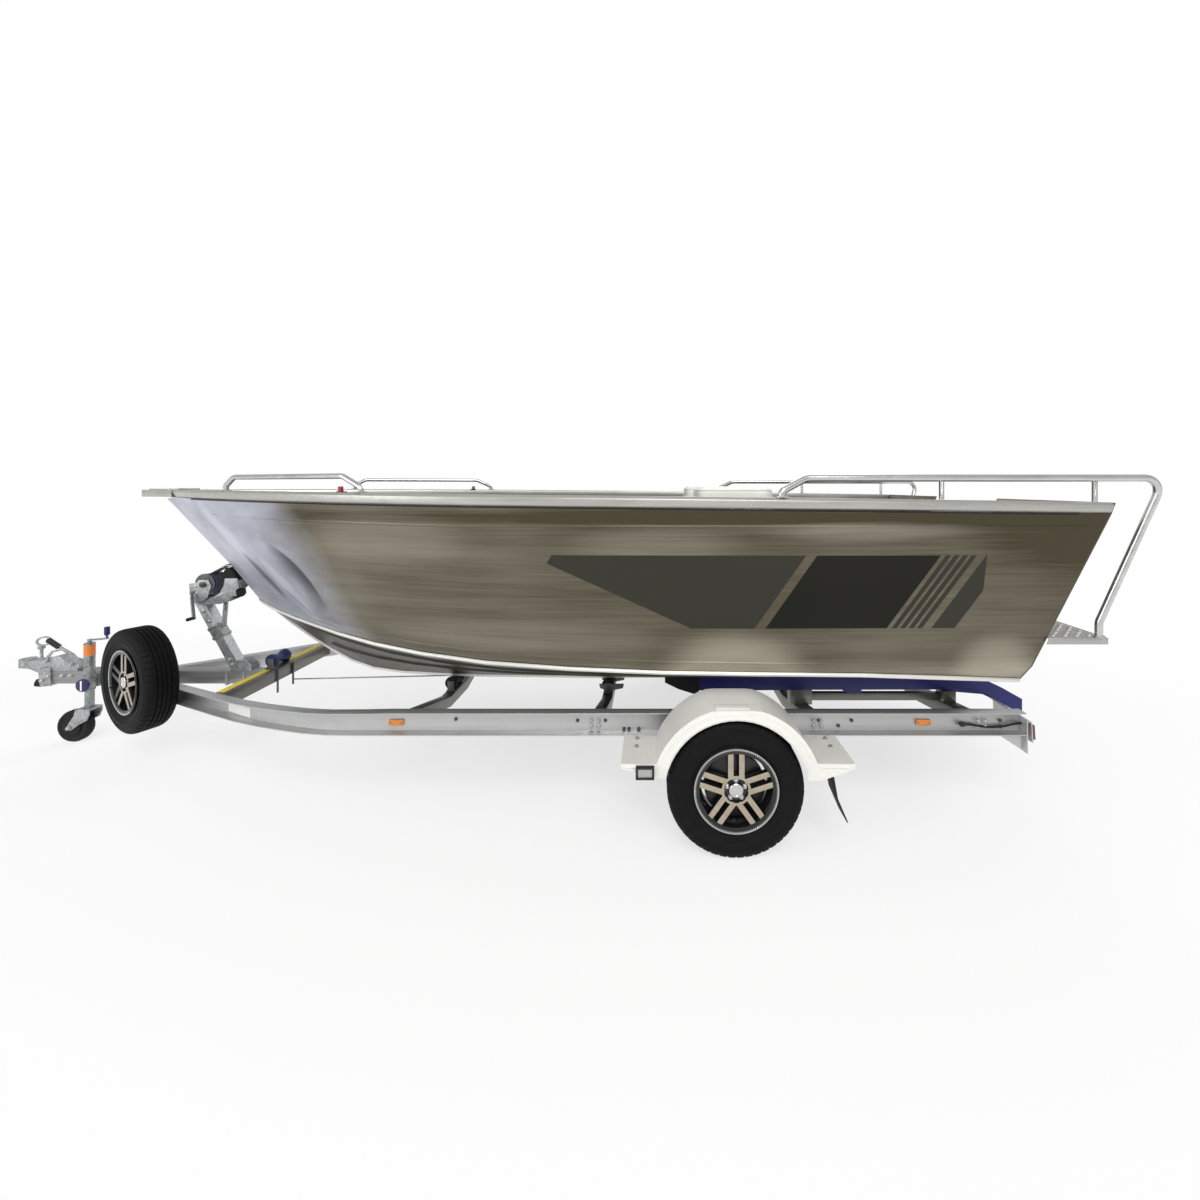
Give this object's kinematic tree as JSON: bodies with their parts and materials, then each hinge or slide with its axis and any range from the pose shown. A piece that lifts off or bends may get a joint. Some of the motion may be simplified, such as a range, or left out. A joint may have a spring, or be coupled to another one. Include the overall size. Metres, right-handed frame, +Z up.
{
  "type": "boat on trailer",
  "caption": "Open aluminium fishing boat with raised decks and folding pedestal seats, carried on an aluminium channel trailer with a winch post, spare wheel and jockey wheel.",
  "frame": {"origin": "on the ground under the middle of the bounding box", "axes": "+X forward to the coupling, +Y to port, +Z up"},
  "size_m": [5.9789, 2.156, 1.5745],
  "materials": {
    "hull_plate": "brushed",
    "extrusion": "satin",
    "tread_plate": "satin",
    "handrail_tube": "polished",
    "rail_channel": "satin",
    "wheel_alloy": "machined",
    "galvanised": "galvanised",
    "tyre_rubber": "matt",
    "black_rubber": "matt",
    "blue_poly": "smooth",
    "white_moulding": "gloss",
    "black_moulding": "smooth",
    "vinyl": "grained",
    "lens": "gloss",
    "floor_carpet": "carpet"
  },
  "bodies": {
    "boat_on_trailer": {"side_port": "hull_plate", "side_starboard": "hull_plate", "bottom_plates": "hull_plate", "keel_and_stem": "extrusion", "chine_extrusions": "extrusion", "gunwales": "extrusion", "transom": "hull_plate", "cockpit_floor": "hull_plate", "fore_deck": "hull_plate", "rear_deck": "hull_plate", "bow_platform": "extrusion", "handrails": "handrail_tube", "boarding_platforms": "tread_plate", "nav_lamps": "black_moulding", "pedestals": "rail_channel", "rail_port": "rail_channel", "rail_starboard": "rail_channel", "drawbar": "rail_channel", "crossmembers": "rail_channel", "keel_rollers": "blue_poly", "roller_brackets": "galvanised", "skids": "blue_poly", "skid_posts": "galvanised", "axle": "galvanised", "leaf_springs": "galvanised", "mudguard_port": "white_moulding", "mudguard_starboard": "white_moulding", "guard_stays": "galvanised", "mudflaps": "black_rubber", "winch_post": "galvanised", "bow_stop": "galvanised", "bow_stop_blocks": "black_rubber", "coupling": "galvanised", "handbrake": "galvanised", "jockey_mount": "galvanised", "spare_tyre": "tyre_rubber", "spare_rim": "wheel_alloy", "spare_carrier": "galvanised", "light_boards": "rail_channel", "trailer_lamps": "lens", "tail_lead": "black_rubber"},
    "wheel_port": {"tyre_port": "tyre_rubber", "rim_port": "wheel_alloy"},
    "wheel_starboard": {"tyre_starboard": "tyre_rubber", "rim_starboard": "wheel_alloy"},
    "jockey_leg": {"jockey_leg": "galvanised"},
    "jockey_castor": {"jockey_fork": "galvanised"},
    "jockey_roll": {"jockey_wheel": "black_rubber"},
    "winch_drum": {"winch_drum": "black_moulding"},
    "winch_crank": {"winch_crank": "galvanised"},
    "seat_port": {"seat_pan_port": "black_moulding", "seat_cushion_port": "vinyl"},
    "backrest_port": {"seat_back_port": "vinyl"},
    "seat_starboard": {"seat_pan_starboard": "black_moulding", "seat_cushion_starboard": "vinyl"},
    "backrest_starboard": {"seat_back_starboard": "vinyl"},
    "hatch_lid": {"hatch_lid": "hull_plate"}
  },
  "joints": [
    {"name": "wheel_spin_port", "type": "hinge", "parent": "boat_on_trailer", "child": "wheel_port", "pos_m": [-1.208, 0.978, 0.282], "axis": [0, 1, 0], "continuous": true},
    {"name": "wheel_spin_starboard", "type": "hinge", "parent": "boat_on_trailer", "child": "wheel_starboard", "pos_m": [-1.208, -0.978, 0.282], "axis": [0, 1, 0], "continuous": true},
    {"name": "jockey_lift", "type": "slide", "parent": "boat_on_trailer", "child": "jockey_leg", "axis": [0, 0, 1], "range_m": [-0.1, 0.075]},
    {"name": "jockey_swivel", "type": "hinge", "parent": "jockey_leg", "child": "jockey_castor", "pos_m": [2.49, 0.076, 0.2], "axis": [0, 0, 1], "continuous": true},
    {"name": "jockey_spin", "type": "hinge", "parent": "jockey_castor", "child": "jockey_roll", "pos_m": [2.568, 0.076, 0.093], "axis": [0, 1, 0], "continuous": true},
    {"name": "winch_crank_turn", "type": "hinge", "parent": "boat_on_trailer", "child": "winch_crank", "pos_m": [1.886, 0, 0.88], "axis": [0, 1, 0], "continuous": true},
    {"name": "winch_drum_turn", "type": "hinge", "parent": "boat_on_trailer", "child": "winch_drum", "pos_m": [1.826, 0, 0.93], "axis": [0, 1, 0], "continuous": true},
    {"name": "seat_swivel_port", "type": "hinge", "parent": "boat_on_trailer", "child": "seat_port", "pos_m": [-1.27, 0.45, 1.318], "axis": [0, 0, 1], "continuous": true},
    {"name": "seat_fold_port", "type": "hinge", "parent": "seat_port", "child": "backrest_port", "pos_m": [-1.5, 0.45, 1.437], "axis": [0, -1, 0], "range_deg": [0, 100]},
    {"name": "seat_swivel_starboard", "type": "hinge", "parent": "boat_on_trailer", "child": "seat_starboard", "pos_m": [-1.27, -0.45, 1.318], "axis": [0, 0, 1], "continuous": true},
    {"name": "seat_fold_starboard", "type": "hinge", "parent": "seat_starboard", "child": "backrest_starboard", "pos_m": [-1.5, -0.45, 1.437], "axis": [0, -1, 0], "range_deg": [0, 100]},
    {"name": "hatch_hinge", "type": "hinge", "parent": "boat_on_trailer", "child": "hatch_lid", "pos_m": [1.284, 0, 1.209], "axis": [0, 1, 0], "range_deg": [0, 95]}
  ]
}
